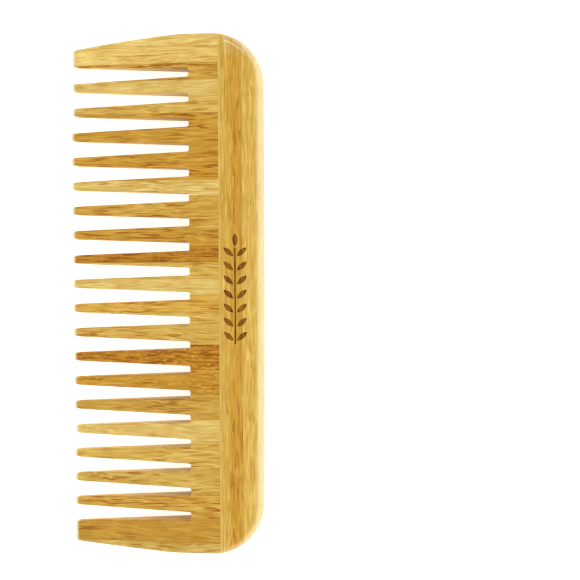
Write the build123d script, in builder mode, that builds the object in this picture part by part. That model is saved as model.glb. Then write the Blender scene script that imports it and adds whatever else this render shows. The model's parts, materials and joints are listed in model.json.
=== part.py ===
from build123d import *

import os

# Wide tooth comb glued up from bamboo strips, in millimetres.
# The comb lies flat: +Y runs along its length, its teeth point to -X, its spine is on
# the +X side and +Z is its thickness. The origin is the bottom centre of its box.

# ---- overall size ----
comb_length = 177.6
comb_width = 66.35
comb_thickness = 7.4
tip_thickness = 1.9

# ---- where things start, worked out from the overall size ----
tooth_length = 41.1
tip_x = -comb_width / 2
back_x = comb_width / 2
end_y = comb_length / 2
slot_root_x = tip_x + tooth_length
mid_z = comb_thickness / 2

# ---- teeth and slots ----
slot_count = 19
slot_pitch = 8.37
slot_root_width = 2.68
slot_tip_width = 5.4
slot_root_radius = 0.6
tip_corner_radius = 1.15
edge_radius = 0.65
# Sanding left some tips short of the others. Teeth are counted from the +Y end, guard first.
tip_trims = {0: 0.7, 1: 0.55, 2: 0.55, 15: 0.4}
trim_height = 1.55 * slot_pitch

# ---- the two guard teeth: outer flanks that lean in to a blunt nose ----
guard_mid_x = slot_root_x - 20.3
guard_root_x = slot_root_x + 5.3
guard_root_y = end_y + 0.1
guard_nose_radius = 1.6
# The +Y guard leans in more than the -Y guard.
upper_guard_tip_y = end_y - 4.95
upper_guard_mid_y = end_y - 2.15
lower_guard_tip_y = -end_y + 3.55
lower_guard_mid_y = -end_y + 1.65

# ---- both faces taper from just behind the slots to the tips ----
taper_start_x = slot_root_x + 0.6
taper_slope = (comb_thickness - tip_thickness) / 2 / (taper_start_x - tip_x)

# ---- spine outline and its rounded rim ----
back_bow = 0.6
back_peak_y = 30.0
spine_corner_radius = 17.5
rim_radius = 2.8

# ---- glue lines ----
joint_x = slot_root_x + 10.1
inner_strip_width = 2.1
middle_strip_width = 5.8
first_glue_y = end_y - 4.75
narrow_strip_width = 5.582
narrow_strip_count = 18
wide_strip_width = 8.5
wide_strip_count = 8

# ---- leaf sprig engraved on the spine ----
sprig_x = slot_root_x + 15.6
sprig_y = 2.3
sprig_length = 37.0
sprig_depth = 0.3
stem_width = 0.5
leaf_length = 4.4
leaf_width = 1.7
leaf_pair_count = 7
leaf_pair_pitch = 4.75
leaf_angle = 48.0
leaf_root_gap = 0.4

# Stock that is cut away runs this far past the finished comb.
overrun = 6.0


def slot_y(index):
    """Centre line of a slot, counted from the +Y end."""
    return ((slot_count - 1) / 2 - index) * slot_pitch


def back_edge_x(y):
    """How far out the gently bowed back edge is. It is widest at its peak."""
    return back_x - back_bow * ((y - back_peak_y) / (end_y + back_peak_y)) ** 2


def guard_flank(tip_y, mid_y, root_y):
    """Outer flank of a guard tooth, run on straight past the spine."""
    curve = ThreePointArc((tip_x, tip_y), (guard_mid_x, mid_y), (guard_root_x, root_y))
    return curve, Line(curve @ 1, curve @ 1 + (curve % 1) * (back_x - guard_root_x + overrun))


def save(sub_part, label):
    """Name one finished strip and write its file."""
    sub_part.part.label = label
    export_step(sub_part.part, f"parts/{label}.step")


os.makedirs("parts", exist_ok=True)

# ---- plan of the toothed board: guard flanks, slots and sanded tips ----
with BuildSketch() as toothed_plan:
    with BuildLine():
        upper_curve, upper_rise = guard_flank(upper_guard_tip_y, upper_guard_mid_y, guard_root_y)
        lower_curve, lower_rise = guard_flank(lower_guard_tip_y, lower_guard_mid_y, -guard_root_y)
        Line(upper_curve @ 0, lower_curve @ 0)
        Line(upper_rise @ 1, lower_rise @ 1)
    make_face()
    mouth_x = tip_x - overrun
    slot_flare = (slot_tip_width - slot_root_width) / tooth_length
    mouth_width = slot_root_width + slot_flare * (slot_root_x - mouth_x)
    for index in range(slot_count):
        with BuildLine():
            Polyline(
                (slot_root_x, slot_y(index) - slot_root_width / 2),
                (slot_root_x, slot_y(index) + slot_root_width / 2),
                (mouth_x, slot_y(index) + mouth_width / 2),
                (mouth_x, slot_y(index) - mouth_width / 2),
                close=True,
            )
        make_face(mode=Mode.SUBTRACT)
    for index, trim in tip_trims.items():
        with Locations((tip_x + trim, slot_y(index) + slot_pitch / 2)):
            Rectangle(overrun, trim_height, align=(Align.MAX, Align.CENTER), mode=Mode.SUBTRACT)
    slot_corners = toothed_plan.vertices().filter_by_position(
        Axis.X, slot_root_x - 0.01, slot_root_x + 0.01
    )
    fillet(slot_corners, slot_root_radius)
    tip_corners = toothed_plan.vertices().filter_by_position(Axis.X, tip_x - 0.01, tip_x + 1.0)
    fillet(tip_corners.sort_by(Axis.Y)[1:-1], tip_corner_radius)
    tip_corners = toothed_plan.vertices().filter_by_position(Axis.X, tip_x - 0.01, tip_x + 1.0)
    fillet(tip_corners.sort_by(Axis.Y)[:1] + tip_corners.sort_by(Axis.Y)[-1:], guard_nose_radius)

# ---- wedge section of the toothed board ----
with BuildSketch(Plane.XZ) as wedge_section:
    with BuildLine():
        far_x = back_x + overrun
        tip_half = tip_thickness / 2 - taper_slope * overrun
        far_half = comb_thickness / 2 + taper_slope * (far_x - taper_start_x)
        Polyline(
            (tip_x - overrun, mid_z - tip_half),
            (tip_x - overrun, mid_z + tip_half),
            (far_x, mid_z + far_half),
            (far_x, mid_z - far_half),
            close=True,
        )
    make_face()

with BuildPart() as toothed_board:
    add(toothed_plan.sketch)
    extrude(amount=comb_thickness + overrun, both=True)
    extrude(wedge_section.sketch, amount=comb_length, both=True, mode=Mode.INTERSECT)
    walls = toothed_board.faces().filter_by(lambda face: abs(face.normal_at().Z) < 0.001)
    far_wall = walls.sort_by(Axis.X)[-1]
    rims = [
        edge
        for wall in walls
        if wall != far_wall
        for edge in wall.edges()
        if abs(edge.tangent_at(0.5).Z) < 0.2
    ]
    fillet(rims, edge_radius)

# ---- blank with the spine's outline and rounded rim ----
with BuildPart() as spine_blank:
    with BuildSketch() as spine_plan:
        with BuildLine():
            front = Line((mouth_x, -end_y), (mouth_x, end_y))
            end = Line(front @ 1, (back_edge_x(end_y), end_y))
            back = ThreePointArc(end @ 1, (back_x, back_peak_y), (back_edge_x(-end_y), -end_y))
            Line(back @ 1, front @ 0)
        make_face()
        fillet(spine_plan.vertices().sort_by(Axis.X)[-2:], spine_corner_radius)
    extrude(amount=comb_thickness)
    outline = spine_blank.edges().filter_by(Plane.XY)
    fillet(outline.filter_by_position(Axis.X, mouth_x + 1, back_x), rim_radius)

# ---- leaf sprig: a stem with pairs of leaves and one leaf at its tip ----
with BuildSketch() as leaf:
    with BuildLine():
        ThreePointArc((0, 0), (leaf_width / 2, leaf_length / 2), (0, leaf_length))
        ThreePointArc((0, leaf_length), (-leaf_width / 2, leaf_length / 2), (0, 0))
    make_face()

stem_end_y = sprig_y + sprig_length / 2 - leaf_length
first_pair_y = sprig_y - sprig_length / 2 + 1.2
leaf_places = [Location((sprig_x, stem_end_y + leaf_root_gap, 0))]
for pair in range(leaf_pair_count):
    for side in (-1, 1):
        root_x = sprig_x + side * (stem_width / 2 + leaf_root_gap)
        root_y = first_pair_y + pair * leaf_pair_pitch
        leaf_places.append(Location((root_x, root_y, 0), (0, 0, -side * leaf_angle)))

with BuildSketch(Plane.XY.offset(comb_thickness)) as sprig:
    stem_length = stem_end_y - (sprig_y - sprig_length / 2)
    with Locations((sprig_x, stem_end_y - stem_length / 2)):
        SlotOverall(stem_length, stem_width, rotation=90)
    with Locations(*leaf_places):
        add(leaf.sketch)

# ---- the whole comb, before it is cut along its glue lines ----
with BuildPart() as comb_body:
    add(toothed_board.part)
    add(spine_blank.part, mode=Mode.INTERSECT)
    extrude(sprig.sketch, amount=-sprig_depth, mode=Mode.SUBTRACT)

# ---- strips with their grain along the teeth, from the +Y end to the -Y end ----
glue_lines = [end_y + overrun]
glue_lines += [first_glue_y - narrow_strip_width * number for number in range(narrow_strip_count + 1)]
glue_lines += [glue_lines[-1] - wide_strip_width * number for number in range(1, wide_strip_count + 1)]
glue_lines += [-end_y - overrun]

for number in range(1, len(glue_lines)):
    with BuildPart() as tooth_strip:
        add(comb_body.part)
        with Locations((joint_x, glue_lines[number], mid_z)):
            Box(
                comb_width,
                glue_lines[number - 1] - glue_lines[number],
                comb_thickness + overrun,
                align=(Align.MAX, Align.MIN, Align.CENTER),
                mode=Mode.INTERSECT,
            )
    save(tooth_strip, f"tooth_strip_{number:02d}")

# ---- spine strips with their grain along the comb ----
middle_x = joint_x + inner_strip_width
outer_x = middle_x + middle_strip_width
spine_strips = {
    "spine_inner_strip": (joint_x, middle_x),
    "spine_middle_strip": (middle_x, outer_x),
    "spine_outer_strip": (outer_x, back_x + overrun),
}

for label, (near_x, far_side_x) in spine_strips.items():
    with BuildPart() as spine_strip:
        add(comb_body.part)
        with Locations((near_x, 0, mid_z)):
            Box(
                far_side_x - near_x,
                comb_length + overrun,
                comb_thickness + overrun,
                align=(Align.MIN, Align.CENTER, Align.CENTER),
                mode=Mode.INTERSECT,
            )
    save(spine_strip, label)
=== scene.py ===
import json
import math

import bpy
from mathutils import Euler, Matrix, Vector


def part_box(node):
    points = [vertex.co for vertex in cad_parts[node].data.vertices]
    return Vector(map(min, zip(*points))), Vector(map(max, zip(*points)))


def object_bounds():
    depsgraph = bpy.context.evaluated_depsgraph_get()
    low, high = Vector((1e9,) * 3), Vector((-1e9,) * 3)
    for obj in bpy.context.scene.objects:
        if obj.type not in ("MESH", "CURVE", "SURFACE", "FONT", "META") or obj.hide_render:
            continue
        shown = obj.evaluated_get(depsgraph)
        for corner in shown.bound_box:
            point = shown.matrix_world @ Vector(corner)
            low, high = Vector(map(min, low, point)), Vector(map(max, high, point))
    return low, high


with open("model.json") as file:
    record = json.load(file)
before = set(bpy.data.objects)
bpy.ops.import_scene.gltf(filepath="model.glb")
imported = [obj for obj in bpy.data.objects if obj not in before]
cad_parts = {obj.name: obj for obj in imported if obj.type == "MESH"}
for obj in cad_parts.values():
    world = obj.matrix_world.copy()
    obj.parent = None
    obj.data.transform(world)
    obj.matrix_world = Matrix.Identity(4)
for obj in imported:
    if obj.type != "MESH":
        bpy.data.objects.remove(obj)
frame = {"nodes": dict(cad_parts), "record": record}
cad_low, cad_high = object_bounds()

# A laminated bamboo comb lying on a white floor. Lengths are metres; inside the materials
# they are millimetres, because grain is easier to read at that size.

MM = 0.001
centre = (cad_low + cad_high) / 2


# ---------------------------------------------------------------- what the strips look like

# Strip tones, palest to darkest, as linear colours.
TONES = {
    "pale_bamboo": (0.780, 0.553, 0.138),
    "light_honey_bamboo": (0.725, 0.475, 0.087),
    "honey_bamboo": (0.680, 0.408, 0.059),
    "amber_bamboo": (0.635, 0.350, 0.037),
    "deep_bamboo": (0.620, 0.330, 0.030),
    "toasted_bamboo": (0.545, 0.256, 0.018),
}

# Colours that don't depend on the strip's tone.
# Sanded paleness with a painted highlight on the spine's rounded back, and a painted highlight on the
# tooth tips and along the rim's crease.
RIM_SANDING_AND_HIGHLIGHT = (0.93, 0.78, 0.47, 1)
# Paler sawn fibres, together with painted shade and bounce light inside the slots.
SAWN_WALL_AND_BOUNCE_LIGHT = (0.67, 0.50, 0.18, 1)
# Painted light bounced up from the white floor onto the foot of the slot walls.
FLOOR_BOUNCE_LIGHT = (0.86, 0.78, 0.70, 1)
BURN = (0.165, 0.045, 0.0, 1)
BURN_PALE = (0.400, 0.155, 0.003, 1)

# What grain and marks do to a strip's tone, as factors for red, green and blue.
LIGHT_GRAIN = (1.20, 1.32, 1.85, 1)
DARK_GRAIN = (0.82, 0.69, 0.42, 1)
BUNDLE_LINE = (0.56, 0.32, 0.07, 1)
PALE_FLANK = (1.12, 1.30, 1.85, 1)
DARK_FLECK = (0.6, 0.38, 0.15)
PALE_FLECK = (1.35, 1.5, 1.9)
NODE_STROKE = (0.6, 0.4, 0.2)
END_GRAIN = (0.85, 0.66, 0.5)
# Painted shade on rounded edges where they turn steep.
STEEP_EDGE_SHADE = (0.62, 0.52, 0.5)
GLUE = (0.6, 0.42, 0.25)
PALE_LINE = (1.3, 1.5, 2.4)
DARK_LINE = (0.75, 0.6, 0.4)

# The layers of the grain. Each is noise with a length along the fibres and a width across
# them, a level of detail, and the two noise values that it fades between.
LAYERS = {
    "flame": (12.0, 0.9, 2.0, 0.34, 0.66),
    "cloud": (6.0, 3.6, 1.0, 0.3, 0.7),
    "fibre": (7.0, 0.38, 2.0, 0.36, 0.62),
    "crowd": (13.0, 2.4, 1.0, 0.35, 0.68),
    "thread": (9.0, 0.5, 1.5, 0.52, 0.61),
}

# How far the fibres wander in a long sway and in a short curl, and the length and width of
# each. Going down into the wood the grain is stretched, and sways less.
SWAY, SWAY_LENGTH, SWAY_WIDTH = 2.2, 16.0, 5.0
CURL, CURL_LENGTH, CURL_WIDTH = 4.0, 2.6, 3.0
DEPTH_STRETCH, DEPTH_SWAY = 0.5, 0.6

# How much of a strip is light grain: some everywhere, more in a flame and more in a cloud.
LIGHT_EVERYWHERE, LIGHT_IN_FLAME, LIGHT_IN_CLOUD = 0.25, 0.4, 0.3

# How much darker it gets between the fine fibres.
BETWEEN_FIBRES = 0.6

# Bundles: the size of the cells that each hold one, how far it reaches in its cell, and the
# part of that reach that is fully dark. A bundle reaches further where bundles crowd, and
# both its reach and its strength vary by chance.
BUNDLE_LENGTH, BUNDLE_WIDTH = 14.0, 0.85
BUNDLE_REACH, CROWD_REACH, CHANCE_REACH = 0.05, 0.17, 0.18
BUNDLE_CORE = 0.3
BUNDLE_STRENGTH, CHANCE_STRENGTH = 0.5, 0.45

# Threads are finer, and stronger where bundles crowd.
THREAD_STRENGTH, CROWD_STRENGTH = 0.22, 0.55

# How far fibres stand up, and bundles and threads dip, as parts of the relief's depth.
FIBRE_HEIGHT, BUNDLE_DIP, THREAD_DIP = 0.3, 0.5, 0.3

# Each strip's grain is taken this much further on in the noise than the one before.
SEED_STEP = 7.31

# How strongly a strip's bundles show, where it isn't 1.
STREAKS = {
    "tooth_strip_01": 0.7,
    "tooth_strip_03": 2.3,
    "tooth_strip_04": 0.6,
    "tooth_strip_06": 1.9,
    "tooth_strip_08": 1.1,
    "tooth_strip_09": 1.7,
    "tooth_strip_12": 1.4,
    "tooth_strip_13": 1.5,
    "tooth_strip_14": 2.1,
    "tooth_strip_16": 0.6,
    "tooth_strip_17": 1.3,
    "tooth_strip_19": 1.3,
    "tooth_strip_20": 2.5,
    "tooth_strip_21": 1.2,
    "tooth_strip_22": 0.9,
    "tooth_strip_23": 0.5,
    "tooth_strip_26": 1.8,
    "spine_inner_strip": 0.5,
    "spine_middle_strip": 0.9,
    "spine_outer_strip": 0.5,
}

# How much lighter a strip is than its tone, where it isn't 1.
LIFT = {
    "tooth_strip_01": 1.06,
    "tooth_strip_02": 1.10,
    "tooth_strip_09": 1.08,
    "tooth_strip_17": 1.10,
    "tooth_strip_20": 1.08,
    "tooth_strip_22": 0.93,
    "tooth_strip_25": 0.95,
    "tooth_strip_27": 0.92,
    "tooth_strip_28": 0.89,
    "spine_middle_strip": 1.03,
    "spine_outer_strip": 1.04,
}

# How much a whole strip's fibres ripple, where they aren't straight.
RIPPLE = {"tooth_strip_03": 0.22, "tooth_strip_20": 0.35, "tooth_strip_21": 0.18}

# How strongly short flecks show on the strips that have them.
MOTTLE = {"tooth_strip_14": 0.3, "tooth_strip_20": 0.6, "tooth_strip_21": 0.4}

# Where a culm node crosses a strip: its distance from the strip's end at the spine, and how
# strongly the node shows.
CULM_NODES = {
    "tooth_strip_18": (36.0, 0.8),
    "tooth_strip_22": (23.0, 0.7),
    "tooth_strip_24": (20.0, 0.4),
    "tooth_strip_25": (40.0, 0.6),
}

# The burnt-in sprig on the flat of the spine: its middle, and half the width and half the
# length of the patch that holds it.
SPRIG_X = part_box("spine_inner_strip")[0].x / MM + 5.5
SPRIG_Y = 2.3
SPRIG_HALF_WIDTH, SPRIG_HALF_LENGTH = 4.2, 20.0

# The slots: how far from the comb's middle they reach, how much solid wood is left between
# them and the spine, and the height of the face at the tips.
OUTER_SLOT_Y, OUTER_SLOT_BLUR = 78.5, 1.0
BEHIND_SLOTS, SLOT_ROOT_BLUR = 9.5, 0.5
TIP_FACE_Z = 4.65

# The strokes of a culm node are the crests of a wave that runs along the strip, bent by noise.
STROKE_WAVES, STROKE_SLANT = 1.9, 0.8
STROKE_ARCH, STROKE_ARCH_SCALE = 4.0, 0.6

# A culm node's bundles crowd a little to its spine side.
BESIDE_NODE, BESIDE_NODE_STREAKS = 5.0, 1.5

# Masks for the marks. Two numbers are a fade: where a mark starts to show and where it shows
# in full. Three are a band: its middle, half its width and its blur. Lengths are in
# millimetres, and a turn is measured on one part of the unit normal. A size is the length
# and the width of noise.
NODE_SWIRL_FADE, BESIDE_NODE_FADE = (6.0, 0.0), (11.0, 3.0)
NODE_STROKE_FADE, STROKE_WIDTH_FADE = (3.5, 1.5), (0.35, 0.05)
BROKEN_SIZE, BROKEN_FADE = (2.0, 2.0), (0.45, 0.6)
FLECK_SIZE, FLECK_PATCH_SIZE = (1.7, 0.55), (12.0, 5.0)
FLECK_PATCH_FADE, DARK_FLECK_FADE, PALE_FLECK_FADE = (0.35, 0.6), (0.5, 0.4), (0.56, 0.66)
SPINE_END_TURN, TOOTH_END_TURN = (0.3, 0.9), (0.9, 1.0)
SPINE_BACK_TURN, SPINE_STEEP_TURN = (0.06, 0.45), (0.8, 0.0)
TOOTH_TIP_TURN, TOOTH_STEEP_TURN = (0.985, 0.8), (0.35, 0.2, 0.15)
NEAR_TIP_FADE, AT_TIP_FADE = (2.4, 1.2), (1.3, 0.7)
CREASE_FADE, CREASE_TURN = (10, 6), (0.985, 0.006, 0.012)
WALL_TURN, WALL_TOP_FADE, WALL_FOOT_FADE = (0.75, 1.0), (0.4, 2.4), (3.0, 0.3)
GLUE_FADE = (0.2, 0.04)
INNER_PALE_LINE, INNER_DARK_LINE = (0.3, 0.12, 0.25), (0.9, 0.05, 0.2)
PALE_FLANK_WIDTH = 2.8
SPRIG_SUNK_FADE, SPRIG_BORDER_BLUR = (0.04, 0.12), 0.1

# How strongly each mark shows. One would hide what is below it.
NODE_STROKE_STRENGTH = 0.4
END_GRAIN_STRENGTH = 0.35
# Sanding plus painted highlight on the spine's rim; painted highlight on the tooth tips.
SPINE_RIM_SANDING_AND_HIGHLIGHT_STRENGTH, TIP_HIGHLIGHT_STRENGTH = 0.5, 0.95
# Painted shade on rounded edges where they turn steep.
SPINE_STEEP_SHADE_STRENGTH, TOOTH_STEEP_SHADE_STRENGTH = 0.4, 0.2
# Painted highlight along the crease where the spine's rim starts.
CREASE_HIGHLIGHT_STRENGTH = 0.55
# Painted bounce light and shade on the slot walls, and painted floor bounce at their foot.
WALL_STRENGTH, FLOOR_BOUNCE_STRENGTH = 0.65, 0.2
SPINE_GLUE_STRENGTH, TOOTH_GLUE_STRENGTH = 0.25, 0.5
INNER_PALE_STRENGTH, INNER_DARK_STRENGTH = 0.18, 0.5

# The finish: satin fibres, drier walls and end grain, and shallow relief.
ROUGHNESS = 0.46
FIBRE_SHINE = -0.12
DRY_WOOD = 0.15
RELIEF_DEPTH = 0.06
RELIEF_STRENGTH = 0.5
SPECULAR = 0.28
COAT, COAT_ROUGHNESS = 0.1, 0.25


# ---------------------------------------------------------------- node tree helpers


class Tree:
    """A short way to write shader nodes: every call adds one node and returns an output."""

    def __init__(self, tree):
        self.tree = tree

    def add(self, kind, **settings):
        node = self.tree.nodes.new(kind)
        for name, value in settings.items():
            setattr(node, name, value)
        return node

    def put(self, socket, value):
        if isinstance(value, bpy.types.NodeSocket):
            self.tree.links.new(value, socket)
        else:
            socket.default_value = value

    def math(self, operation, first, second=0.0):
        node = self.add("ShaderNodeMath", operation=operation)
        for socket, value in zip(node.inputs, (first, second)):
            self.put(socket, value)
        return node.outputs[0]

    def minus(self, first, second):
        return self.math("SUBTRACT", first, second)

    def absolute(self, value):
        return self.math("ABSOLUTE", value)

    def times(self, *factors):
        product = factors[0]
        for factor in factors[1:]:
            product = self.math("MULTIPLY", product, factor)
        return product

    def plus(self, *terms):
        total = terms[0]
        for term in terms[1:]:
            total = self.math("ADD", total, term)
        return total

    def ramp(self, value, low, high, to_low=0.0, to_high=1.0, smooth=True):
        kind = "SMOOTHSTEP" if smooth else "LINEAR"
        node = self.add("ShaderNodeMapRange", interpolation_type=kind, clamp=True)
        for socket, number in zip(node.inputs, (value, low, high, to_low, to_high)):
            self.put(socket, number)
        return node.outputs[0]

    def band(self, value, middle, half_width, blur):
        """One inside a band of values, fading to nought over the blur on both sides."""
        away = self.absolute(self.minus(value, middle))
        return self.ramp(away, half_width + blur, half_width)

    def vector(self, x, y, z):
        node = self.add("ShaderNodeCombineXYZ")
        for socket, value in zip(node.inputs, (x, y, z)):
            self.put(socket, value)
        return node.outputs[0]

    def split(self, vector):
        node = self.add("ShaderNodeSeparateXYZ")
        self.put(node.inputs[0], vector)
        return node.outputs

    def mix(self, factor, first, second, blend="MIX"):
        node = self.add("ShaderNodeMix", data_type="RGBA", blend_type=blend)
        self.put(node.inputs[0], factor)
        self.put(node.inputs[6], first)
        self.put(node.inputs[7], second)
        return node.outputs[2]

    def noise(self, vector, detail=2.0):
        node = self.add("ShaderNodeTexNoise", noise_dimensions="3D")
        self.put(node.inputs["Vector"], vector)
        node.inputs["Scale"].default_value = 1.0
        node.inputs["Detail"].default_value = detail
        node.inputs["Roughness"].default_value = 0.5
        return node.outputs[0]

    def cells(self, vector):
        """Distance to the nearest cell centre, and one random number for each cell."""
        node = self.add("ShaderNodeTexVoronoi", voronoi_dimensions="3D", feature="F1")
        self.put(node.inputs["Vector"], vector)
        node.inputs["Scale"].default_value = 1.0
        channels = self.add("ShaderNodeSeparateColor")
        self.put(channels.inputs[0], node.outputs["Color"])
        return node.outputs["Distance"], channels.outputs[0]


def principled(material):
    """The shader of a new material."""
    return next(node for node in material.node_tree.nodes if node.type == "BSDF_PRINCIPLED")


# ---------------------------------------------------------------- bamboo


def bamboo_group():
    """The grain of one strip, from where a point is along, across and through the strip."""
    group = bpy.data.node_groups.new("bamboo_grain", "ShaderNodeTree")
    for name in ("Along", "Across", "Depth", "Seed", "Swirl", "Streaks"):
        group.interface.new_socket(name, in_out="INPUT", socket_type="NodeSocketFloat")
    group.interface.new_socket("Tone", in_out="INPUT", socket_type="NodeSocketColor")
    group.interface.new_socket("Color", in_out="OUTPUT", socket_type="NodeSocketColor")
    for name in ("Height", "Fibre"):
        group.interface.new_socket(name, in_out="OUTPUT", socket_type="NodeSocketFloat")
    t = Tree(group)
    inputs = t.add("NodeGroupInput").outputs
    out = t.add("NodeGroupOutput").inputs
    along, across, depth = inputs["Along"], inputs["Across"], inputs["Depth"]
    seed, tone, swirl, streaks = inputs["Seed"], inputs["Tone"], inputs["Swirl"], inputs["Streaks"]

    def wander(length, width, reach):
        place = t.vector(t.times(along, 1 / length), t.times(across, 1 / width), seed)
        return t.times(t.minus(t.noise(place, detail=1.0), 0.5), reach)

    # Fibres sway a little, and curl round a node of the culm.
    sway = wander(SWAY_LENGTH, SWAY_WIDTH, SWAY)
    curl = t.times(wander(CURL_LENGTH, CURL_WIDTH, CURL), swirl)
    u = t.plus(across, sway, curl)
    w = t.plus(t.times(depth, DEPTH_STRETCH), t.times(sway, DEPTH_SWAY))

    def grain_space(length, width):
        return t.vector(
            t.plus(t.times(along, 1 / length), seed),
            t.plus(t.times(u, 1 / width), seed),
            t.times(w, 1 / width),
        )

    def layer(name):
        length, width, detail, low, high = LAYERS[name]
        return t.ramp(t.noise(grain_space(length, width), detail), low, high)

    # Cloudy lighter and darker flames, then fine fibres.
    flame, cloud, fibre = layer("flame"), layer("cloud"), layer("fibre")

    # Vascular bundles: long thin dark lines, thick in the middle, that crowd in some places.
    crowd, thread = layer("crowd"), layer("thread")
    from_bundle, pick = t.cells(grain_space(BUNDLE_LENGTH, BUNDLE_WIDTH))
    reach = t.plus(t.times(crowd, CROWD_REACH), BUNDLE_REACH, t.times(pick, CHANCE_REACH))
    reach = t.times(reach, streaks)
    bundle = t.ramp(from_bundle, reach, t.times(reach, BUNDLE_CORE))
    bundle_strength = t.plus(BUNDLE_STRENGTH, t.times(pick, CHANCE_STRENGTH))
    thread_strength = t.plus(THREAD_STRENGTH, t.times(crowd, CROWD_STRENGTH))

    light = t.mix(1.0, tone, LIGHT_GRAIN, "MULTIPLY")
    dark = t.mix(1.0, tone, DARK_GRAIN, "MULTIPLY")
    line = t.mix(1.0, tone, BUNDLE_LINE, "MULTIPLY")
    lightness = t.plus(t.times(flame, LIGHT_IN_FLAME), t.times(cloud, LIGHT_IN_CLOUD), LIGHT_EVERYWHERE)
    colour = t.mix(lightness, dark, light)
    colour = t.mix(t.times(t.minus(1.0, fibre), BETWEEN_FIBRES), colour, dark)
    colour = t.mix(t.times(thread, streaks, thread_strength), colour, line)
    colour = t.mix(t.times(bundle, bundle_strength), colour, line)
    t.put(out["Color"], colour)
    dips = t.plus(t.times(bundle, BUNDLE_DIP), t.times(thread, THREAD_DIP))
    t.put(out["Height"], t.minus(t.times(fibre, FIBRE_HEIGHT), dips))
    t.put(out["Fibre"], fibre)
    return group


GRAIN = bamboo_group()


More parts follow.
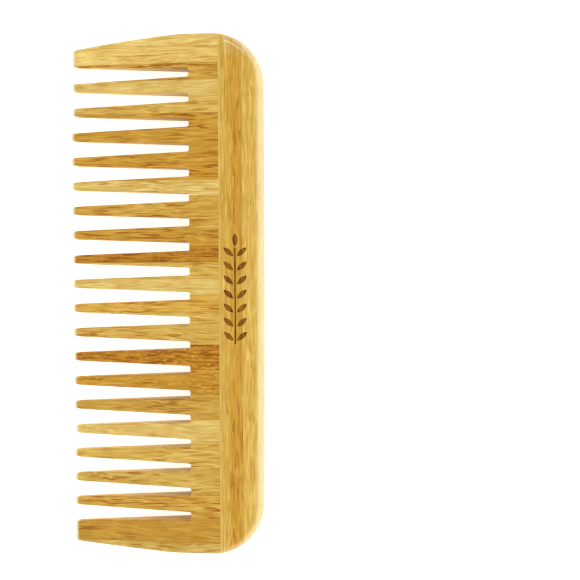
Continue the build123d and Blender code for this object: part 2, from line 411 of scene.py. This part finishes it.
class Strip(Tree):
    """The material of one glued strip. Each method lays one thing over its colour."""

    def __init__(self, node, number):
        self.material = bpy.data.materials.new(node + "_bamboo")
        self.material.use_nodes = True
        super().__init__(self.material.node_tree)
        self.node, self.number = node, number
        low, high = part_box(node)
        self.low, self.high = low / MM, high / MM
        self.is_spine = node.startswith("spine")
        slot = next(part["material_slot"] for part in frame["record"]["subparts"] if part["node"] == node)
        self.tone = [channel * LIFT.get(node, 1.0) for channel in TONES[slot]]

        place = self.add("ShaderNodeVectorMath", operation="MULTIPLY")
        self.put(place.inputs[0], self.add("ShaderNodeTexCoord").outputs["Object"])
        place.inputs[1].default_value = (1 / MM, 1 / MM, 1 / MM)
        self.x, self.y, self.z = self.split(place.outputs[0])
        normal = self.add("ShaderNodeNewGeometry").outputs["Normal"]
        self.facing_x, self.facing_y, self.facing_z = self.split(normal)
        self.along, self.across = (self.y, self.x) if self.is_spine else (self.x, self.y)
        if node in CULM_NODES:
            distance, self.boldness = CULM_NODES[node]
            self.past_node = self.minus(self.along, self.high.x - distance)
        self.end = 0.0
        self.wall = 0.0

    def shade(self, factors):
        """The strip's tone made darker or lighter channel by channel."""
        return (*[channel * factor for channel, factor in zip(self.tone, factors)], 1)

    def lay(self, strength, colour, blend="MIX"):
        """Mix a colour over what is there so far."""
        self.colour = self.mix(strength, self.colour, colour, blend)

    def blotches(self, length, width):
        """Noise that is stretched to a length along the strip and a width across it."""
        along, across = self.times(self.along, 1 / length), self.times(self.across, 1 / width)
        return self.noise(self.vector(along, across, self.number))

    def grain(self):
        """The grain, which swirls at a culm node and is full of bundles beside it."""
        swirl = RIPPLE.get(self.node, 0.0)
        streaks = STREAKS.get(self.node, 1.0)
        if self.node in CULM_NODES:
            near_node = self.ramp(self.absolute(self.past_node), *NODE_SWIRL_FADE)
            swirl = self.times(near_node, self.boldness)
            off_node = self.absolute(self.plus(self.past_node, -BESIDE_NODE))
            beside_node = self.ramp(off_node, *BESIDE_NODE_FADE)
            streaks = self.plus(streaks, self.times(beside_node, self.boldness, BESIDE_NODE_STREAKS))
        grain = self.add("ShaderNodeGroup", node_tree=GRAIN)
        for name, value in (
            ("Along", self.along),
            ("Across", self.across),
            ("Depth", self.z),
            ("Seed", self.number * SEED_STEP),
            ("Swirl", swirl),
            ("Streaks", streaks),
            ("Tone", (*self.tone, 1)),
        ):
            self.put(grain.inputs[name], value)
        self.colour, self.height, self.fibre = grain.outputs

    def flecks(self):
        """Some of the dark strips are mottled with short dark and pale flecks."""
        strength = MOTTLE[self.node]
        fleck = self.blotches(*FLECK_SIZE)
        patch = self.ramp(self.blotches(*FLECK_PATCH_SIZE), *FLECK_PATCH_FADE)
        dark = self.ramp(fleck, *DARK_FLECK_FADE)
        pale = self.ramp(fleck, *PALE_FLECK_FADE)
        self.lay(self.times(dark, patch, strength), self.shade(DARK_FLECK))
        self.lay(self.times(pale, strength), self.shade(PALE_FLECK))

    def culm_strokes(self):
        """A culm node shows as a few short dark strokes that arch across the fibres."""
        place = self.vector(
            self.number,
            self.times(self.across, STROKE_ARCH_SCALE),
            self.times(self.z, STROKE_ARCH_SCALE),
        )
        wobble = self.times(self.noise(place, 1.0), STROKE_ARCH)
        arch = self.plus(self.times(self.past_node, STROKE_SLANT), wobble, -STROKE_ARCH / 2)
        wave = self.math("SINE", self.times(arch, STROKE_WAVES))
        stroke = self.ramp(self.absolute(wave), *STROKE_WIDTH_FADE)
        broken = self.ramp(self.blotches(*BROKEN_SIZE), *BROKEN_FADE)
        near_node = self.ramp(self.absolute(self.past_node), *NODE_STROKE_FADE)
        stroke = self.times(stroke, broken, near_node)
        self.lay(self.times(stroke, NODE_STROKE_STRENGTH * self.boldness), self.shade(NODE_STROKE))

    def end_grain(self):
        """End grain drinks more oil, so it is darker and redder."""
        if self.is_spine:
            self.end = self.ramp(self.absolute(self.facing_y), *SPINE_END_TURN)
        else:
            self.end = self.ramp(self.absolute(self.facing_x), *TOOTH_END_TURN)
        self.lay(self.times(self.end, END_GRAIN_STRENGTH), self.shade(END_GRAIN))

    def sanding_highlight_and_edge_shade(self):
        """The rounded back of the spine is sanded paler and gets a painted highlight over that, the tips
        of the teeth get a painted highlight, and the rounded edges get painted shade where they turn
        steep."""
        flatness = self.absolute(self.facing_z)
        if self.is_spine:
            pale = self.times(self.ramp(self.facing_x, *SPINE_BACK_TURN), SPINE_RIM_SANDING_AND_HIGHLIGHT_STRENGTH)
            steep_shade = self.times(self.ramp(flatness, *SPINE_STEEP_TURN), SPINE_STEEP_SHADE_STRENGTH)
        else:
            near_tip = self.ramp(self.x, *[self.low.x + distance for distance in NEAR_TIP_FADE])
            at_tip = self.ramp(self.x, *[self.low.x + distance for distance in AT_TIP_FADE])
            rounded = self.times(near_tip, self.ramp(self.facing_z, *TOOTH_TIP_TURN))
            pale = self.times(self.math("MAXIMUM", rounded, at_tip), TIP_HIGHLIGHT_STRENGTH)
            steep_shade = self.times(self.band(flatness, *TOOTH_STEEP_TURN), TOOTH_STEEP_SHADE_STRENGTH)
        # Pale: sanding plus a painted highlight on the spine's back, and a painted highlight on the tooth
        # tips.
        self.lay(pale, RIM_SANDING_AND_HIGHLIGHT)
        # Painted shade on the steep part of the rounded edges.
        self.lay(steep_shade, self.shade(STEEP_EDGE_SHADE))

    def crease_highlight(self):
        """A pale line is painted as a highlight where the rounded rim starts, at the +Y corner of the
        spine.
        """
        near_end = self.ramp(self.y, *[cad_high.y / MM - distance for distance in CREASE_FADE])
        crease_highlight = self.times(self.band(self.facing_z, *CREASE_TURN), near_end)
        self.lay(self.times(crease_highlight, CREASE_HIGHLIGHT_STRENGTH), RIM_SANDING_AND_HIGHLIGHT)

    def sawn_and_bounce_lit_walls(self):
        """Saw-cut walls have paler sawn fibres, and the greyer tan below the edge of the face is also
        painted shade and bounce light for the inside of the narrow slots. The pale foot is painted light
        bounced up from the white floor.
        """
        slot_root_x = self.high.x - BEHIND_SLOTS
        in_slots = self.ramp(self.absolute(self.y), OUTER_SLOT_Y + OUTER_SLOT_BLUR, OUTER_SLOT_Y)
        toothed = self.ramp(self.x, slot_root_x + SLOT_ROOT_BLUR, slot_root_x - SLOT_ROOT_BLUR)
        sideways = self.ramp(self.absolute(self.facing_y), *WALL_TURN)
        self.wall = self.times(sideways, toothed, in_slots)
        face_z = self.ramp(self.x, self.low.x, slot_root_x, TIP_FACE_Z, self.high.z, smooth=False)
        below_face = self.ramp(self.minus(face_z, self.z), *WALL_TOP_FADE)
        foot = self.ramp(self.z, *WALL_FOOT_FADE)
        # Painted shade and bounce light below the face, over the paler sawn fibres.
        self.lay(self.times(self.wall, below_face, WALL_STRENGTH), SAWN_WALL_AND_BOUNCE_LIGHT)
        # Painted light bounced up from the floor at the foot of the wall.
        self.lay(self.times(self.wall, foot, FLOOR_BOUNCE_STRENGTH), FLOOR_BOUNCE_LIGHT)

    def glue_lines(self):
        """Glue lines, a hair's width, on the long sides of the strip."""
        low, high = (self.low.x, self.high.x) if self.is_spine else (self.low.y, self.high.y)
        edge = self.math("MINIMUM", self.minus(self.across, low), self.minus(high, self.across))
        strength = SPINE_GLUE_STRENGTH if self.is_spine else TOOTH_GLUE_STRENGTH
        self.lay(self.times(self.ramp(edge, *GLUE_FADE), strength), self.shade(GLUE))

    def inner_lines(self):
        """The narrow inner strip has a pale line and a dark one beside the tooth strips."""
        for (middle, half_width, blur), strength, factors in (
            (INNER_PALE_LINE, INNER_PALE_STRENGTH, PALE_LINE),
            (INNER_DARK_LINE, INNER_DARK_STRENGTH, DARK_LINE),
        ):
            line = self.band(self.x, self.low.x + middle, half_width, blur)
            self.lay(self.times(line, strength), self.shade(factors))

    def pale_flank(self):
        """The middle strip gets paler towards the inner one."""
        flank = self.ramp(self.x, self.low.x + PALE_FLANK_WIDTH, self.low.x)
        self.lay(flank, PALE_FLANK, "MULTIPLY")

    def burnt_sprig(self):
        """The sprig is burnt in: what is sunk below the flat face inside its patch is charred."""
        in_width = self.band(self.x, SPRIG_X, SPRIG_HALF_WIDTH, SPRIG_BORDER_BLUR)
        in_length = self.band(self.y, SPRIG_Y, SPRIG_HALF_LENGTH, SPRIG_BORDER_BLUR)
        sunk = self.ramp(self.z, *[self.high.z - depth for depth in SPRIG_SUNK_FADE])
        self.lay(self.times(in_width, in_length, sunk), self.mix(self.fibre, BURN, BURN_PALE))

    def finish(self):
        """Join the colour, the satin finish and the relief to the shader."""
        shader = principled(self.material)
        self.put(shader.inputs["Base Color"], self.colour)
        dry = self.times(self.math("MAXIMUM", self.end, self.wall), DRY_WOOD)
        rough = self.plus(self.times(self.fibre, FIBRE_SHINE), dry, ROUGHNESS)
        self.put(shader.inputs["Roughness"], rough)
        bump = self.add("ShaderNodeBump")
        bump.inputs["Strength"].default_value = RELIEF_STRENGTH
        bump.inputs["Distance"].default_value = RELIEF_DEPTH * MM
        self.put(bump.inputs["Height"], self.height)
        self.put(shader.inputs["Normal"], bump.outputs[0])
        shader.inputs["Specular IOR Level"].default_value = SPECULAR
        shader.inputs["Coat Weight"].default_value = COAT
        shader.inputs["Coat Roughness"].default_value = COAT_ROUGHNESS


def bamboo(node, number):
    """The material of one glued strip."""
    strip = Strip(node, number)
    strip.grain()
    if node in MOTTLE:
        strip.flecks()
    if node in CULM_NODES:
        strip.culm_strokes()
    strip.end_grain()
    strip.sanding_highlight_and_edge_shade()
    if node in ("spine_middle_strip", "spine_outer_strip"):
        strip.crease_highlight()
    if not strip.is_spine:
        strip.sawn_and_bounce_lit_walls()
    strip.glue_lines()
    if node == "spine_inner_strip":
        strip.inner_lines()
    if node == "spine_middle_strip":
        strip.pale_flank()
    if strip.is_spine:
        strip.burnt_sprig()
    strip.finish()
    return strip.material


for number, node in enumerate(sorted(frame["nodes"])):
    mesh = frame["nodes"][node].data
    mesh.materials.clear()
    mesh.materials.append(bamboo(node, number))


# ---------------------------------------------------------------- floor, light, camera

# Half the floor's side, how far it is below the comb, and how much it glows.
FLOOR_HALF = 4.0
FLOOR_GAP = 0.0002
FLOOR_GLOW = 0.75

# Soft panels of light: offset from the comb's centre, size, and power in watts.
PANELS = {
    "right": ((0.60, 0.0, 0.30), (0.9, 0.28), 3.2),
    "left": ((-0.60, 0.0, 0.28), (0.9, 0.25), 2.6),
    "near_end": ((0.0, -0.62, 0.34), (0.8, 0.3), 1.8),
    "far_end": ((0.0, 0.62, 0.34), (0.8, 0.3), 1.3),
}
BACKDROP_LIGHT = 0.32

# The photograph's camera: nearly straight down, with the comb left of its axis. The tilt is
# in degrees. The stand is the way from the comb's centre to the camera, in millimetres along
# the camera's own axes.
CAMERA_TILT = (1.91, -3.82, 0.065)
CAMERA_STAND = (41.725, 2.0, 290.5)
CAMERA_LENS = 52.5


def floor():
    """A white floor that glows a little, so that it stays white under soft light."""
    mesh = bpy.data.meshes.new("floor")
    floor_z = cad_low.z - FLOOR_GAP
    signs = ((-1, -1), (1, -1), (1, 1), (-1, 1))
    corners = [(x * FLOOR_HALF, y * FLOOR_HALF, floor_z) for x, y in signs]
    mesh.from_pydata(corners, [], [(0, 1, 2, 3)])
    plane = bpy.data.objects.new("floor", mesh)
    bpy.context.scene.collection.objects.link(plane)
    material = bpy.data.materials.new("pale_floor")
    material.use_nodes = True
    shader = principled(material)
    shader.inputs["Base Color"].default_value = (0.9, 0.9, 0.9, 1)
    shader.inputs["Roughness"].default_value = 0.6
    shader.inputs["Specular IOR Level"].default_value = 0.2
    shader.inputs["Emission Color"].default_value = (1, 1, 1, 1)
    shader.inputs["Emission Strength"].default_value = FLOOR_GLOW
    mesh.materials.append(material)


def panel(name, offset, size, power):
    """A soft rectangular light that faces the comb."""
    light = bpy.data.lights.new(name, "AREA")
    light.shape = "RECTANGLE"
    light.size, light.size_y = size
    light.energy = power
    lamp = bpy.data.objects.new(name, light)
    lamp.location = centre + Vector(offset)
    lamp.rotation_euler = (-Vector(offset)).to_track_quat("-Z", "Y").to_euler()
    bpy.context.scene.collection.objects.link(lamp)


def camera():
    """A camera turned by its tilt and set back from the comb's centre by its stand."""
    turn = Euler([math.radians(angle) for angle in CAMERA_TILT], "XYZ").to_matrix()
    stand = Vector(CAMERA_STAND) * MM
    data = bpy.data.cameras.new("camera")
    data.sensor_width = 36.0
    data.lens = CAMERA_LENS
    data.clip_start = 0.01
    eye = bpy.data.objects.new("camera", data)
    bpy.context.scene.collection.objects.link(eye)
    back = turn.transposed()
    eye.matrix_world = Matrix.Translation(centre + back @ stand) @ back.to_4x4()
    bpy.context.scene.camera = eye


floor()
for name, (offset, size, power) in PANELS.items():
    panel(name, offset, size, power)
camera()

world = bpy.data.worlds.new("world")
world.use_nodes = True
backdrop = world.node_tree.nodes["Background"]
backdrop.inputs[0].default_value = (1, 1, 1, 1)
backdrop.inputs[1].default_value = BACKDROP_LIGHT
bpy.context.scene.world = world
bpy.context.scene.view_settings.view_transform = "Standard"
